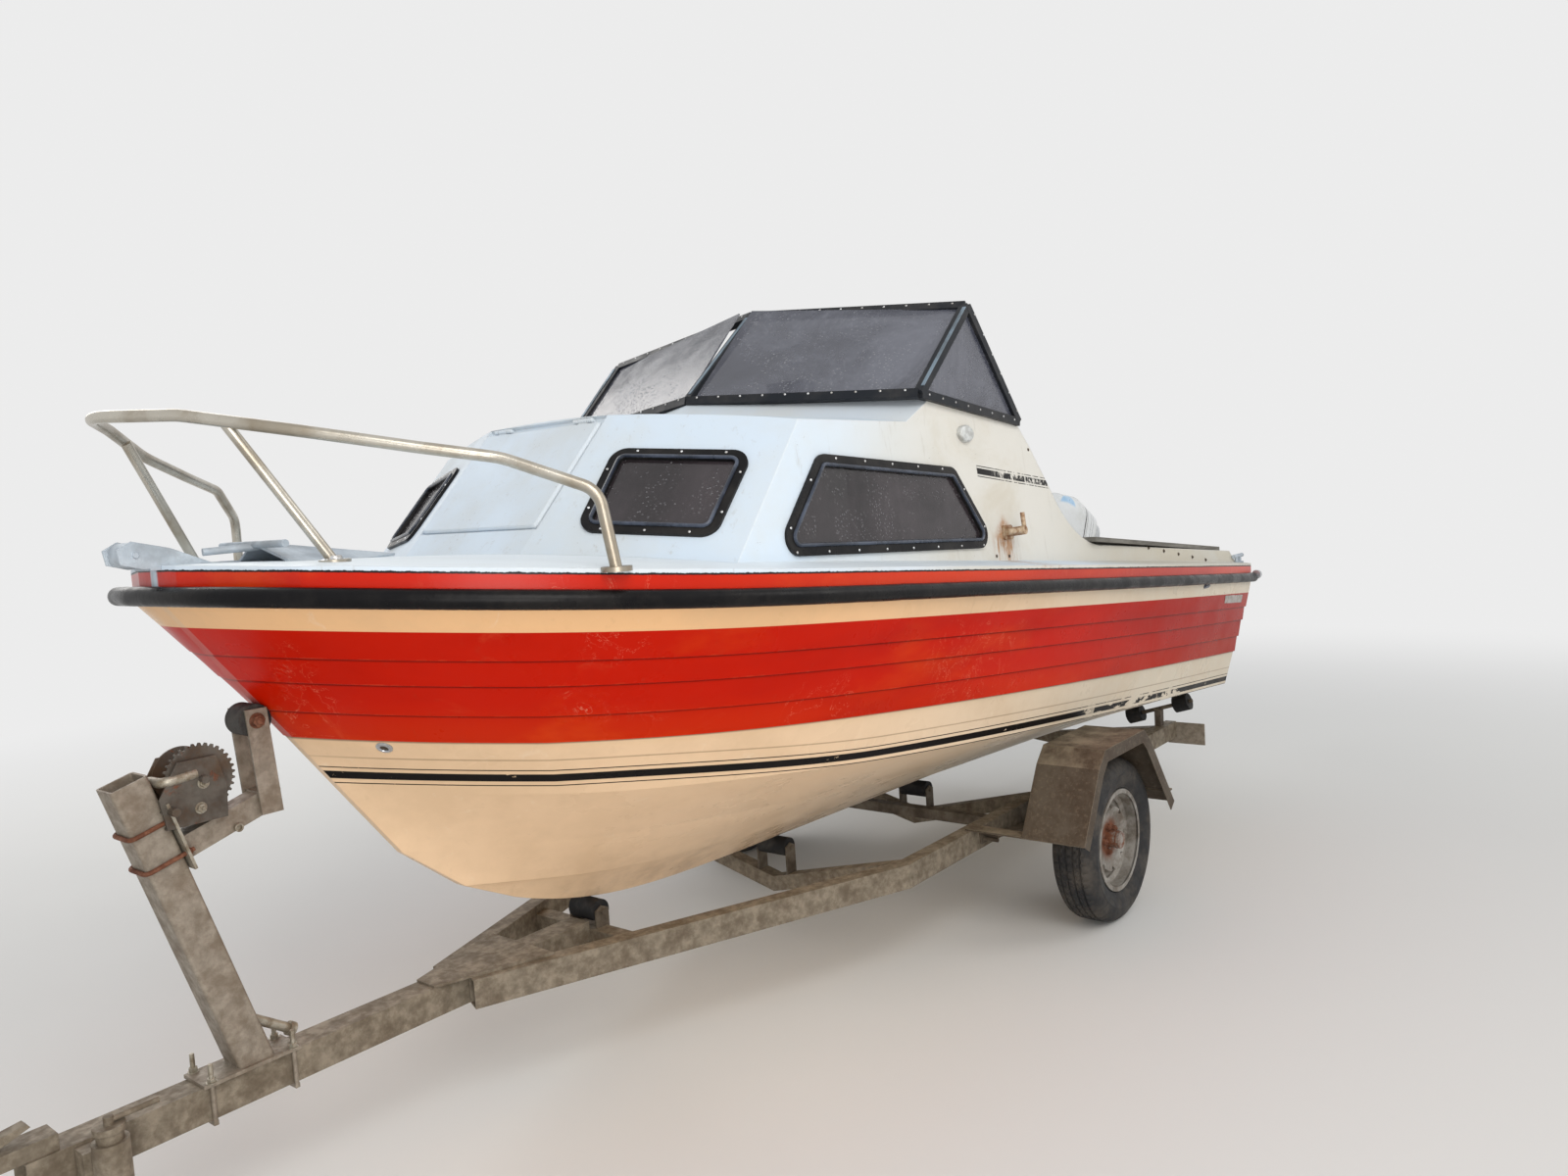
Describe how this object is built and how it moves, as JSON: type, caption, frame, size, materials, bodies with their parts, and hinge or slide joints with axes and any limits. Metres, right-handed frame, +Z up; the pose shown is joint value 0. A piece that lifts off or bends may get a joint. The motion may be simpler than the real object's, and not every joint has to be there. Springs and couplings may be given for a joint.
{
  "type": "half-cabin speedboat on road trailer",
  "caption": "Lap-strake half-cabin speedboat with windscreen, pulpit and tilted outboard, resting on its galvanised single-axle road trailer with winch post and jockey wheel.",
  "frame": {"origin": "on the ground, under the middle of the boat and trailer together", "axes": "+X forward to the bow and the tow coupling, +Y to port, +Z up"},
  "size_m": [5.7772, 1.9722, 2.1851],
  "materials": {
    "hull_gelcoat": "faded gelcoat",
    "deck_gelcoat": "chalky white gelcoat",
    "black_rubber": "satin",
    "sole_board": "painted",
    "painted_board": "painted",
    "seat_vinyl": "grained vinyl",
    "anodised": "dull anodised",
    "smoked_glass": "clear, smoked",
    "screen_glass": "clear",
    "stainless": "polished",
    "galvanised": "weathered zinc",
    "rusty_steel": "rust stained",
    "wheel_paint": "silver paint",
    "tread": "worn",
    "black_plastic": "satin",
    "motor_white": "gloss",
    "motor_paint": "painted casting",
    "propeller_metal": "worn"
  },
  "bodies": {
    "boat_and_trailer": {"hull_shell": "hull_gelcoat", "deck_moulding": "deck_gelcoat", "rub_rail": "black_rubber", "cockpit_sole": "sole_board", "cabin_bulkhead": "deck_gelcoat", "dash_box": "deck_gelcoat", "berths": "seat_vinyl", "seat_bases": "deck_gelcoat", "seat_cushions": "seat_vinyl", "windscreen_frame": "anodised", "windscreen_panes": "screen_glass", "window_frames": "black_rubber", "window_panes": "smoked_glass", "pulpit_rail": "stainless", "bow_roller": "galvanised", "anchor": "galvanised", "cleats": "stainless", "side_lamps": "black_plastic", "side_bracket": "rusty_steel", "side_board": "painted_board", "instrument_box": "black_plastic", "helm_shaft": "stainless", "motor_clamp": "motor_paint", "drawbar": "galvanised", "side_rails": "galvanised", "cross_members": "galvanised", "axle": "galvanised", "leaf_springs": "galvanised", "mudguards": "galvanised", "winch_post": "galvanised", "winch_arm": "galvanised", "winch": "rusty_steel", "bow_stop": "black_rubber", "keel_rollers": "black_rubber", "roller_brackets": "galvanised", "rear_rollers": "black_rubber", "rear_cradles": "galvanised", "coupling": "galvanised", "jockey_clamp": "galvanised", "light_brackets": "galvanised"},
    "wheel_port": {"tyre_port": "tread", "rim_port": "wheel_paint"},
    "wheel_starboard": {"tyre_starboard": "tread", "rim_starboard": "wheel_paint"},
    "motor_tilting": {"motor_swivel": "motor_paint"},
    "motor_steering": {"motor_leg": "motor_paint", "motor_hood": "motor_white"},
    "propeller": {"propeller": "propeller_metal"},
    "helm_wheel": {"steering_wheel": "black_plastic"},
    "hatch": {"hatch_lid": "deck_gelcoat"},
    "jockey_stand": {"jockey_tube": "galvanised"},
    "jockey_castor": {"jockey_fork": "galvanised"},
    "jockey_wheel": {"jockey_wheel": "black_rubber"}
  },
  "joints": [
    {"name": "port_wheel_spin", "type": "hinge", "parent": "boat_and_trailer", "child": "wheel_port", "pos_m": [-0.33542, 0.85, 0.286], "axis": [0, 1, 0], "continuous": true},
    {"name": "starboard_wheel_spin", "type": "hinge", "parent": "boat_and_trailer", "child": "wheel_starboard", "pos_m": [-0.33542, -0.85, 0.286], "axis": [0, 1, 0], "continuous": true},
    {"name": "motor_tilt", "type": "hinge", "parent": "boat_and_trailer", "child": "motor_tilting", "pos_m": [-1.96652, 0, 0.935], "axis": [0, 1, 0], "range_deg": [-64, 4]},
    {"name": "motor_steer", "type": "hinge", "parent": "motor_tilting", "child": "motor_steering", "pos_m": [-2.08029, 0, 0.96296], "axis": [0.8988, 0, 0.4384], "range_deg": [-35, 35]},
    {"name": "propeller_spin", "type": "hinge", "parent": "motor_steering", "child": "propeller", "pos_m": [-2.77578, 0, 0.95863], "axis": [0.4384, 0, -0.8988], "continuous": true},
    {"name": "helm_turn", "type": "hinge", "parent": "boat_and_trailer", "child": "helm_wheel", "pos_m": [0.13458, -0.43, 1.34], "axis": [-0.9063, 0, 0.4226], "range_deg": [-545, 545]},
    {"name": "hatch_swing", "type": "hinge", "parent": "boat_and_trailer", "child": "hatch", "pos_m": [1.33508, 0, 1.79008], "axis": [0, -1, 0], "range_deg": [0, 100]},
    {"name": "jockey_lift", "type": "slide", "parent": "boat_and_trailer", "child": "jockey_stand", "axis": [0, 0, 1], "range_m": [0, 0.06]},
    {"name": "jockey_swivel", "type": "hinge", "parent": "jockey_stand", "child": "jockey_castor", "pos_m": [2.61958, 0.112, 0.2], "axis": [0, 0, 1], "continuous": true},
    {"name": "jockey_spin", "type": "hinge", "parent": "jockey_castor", "child": "jockey_wheel", "pos_m": [2.59158, 0.112, 0.1], "axis": [0, 1, 0], "continuous": true}
  ],
  "couplings": [
    {"joint": "helm_turn", "follows": "motor_steer", "ratio": -15.429}
  ]
}
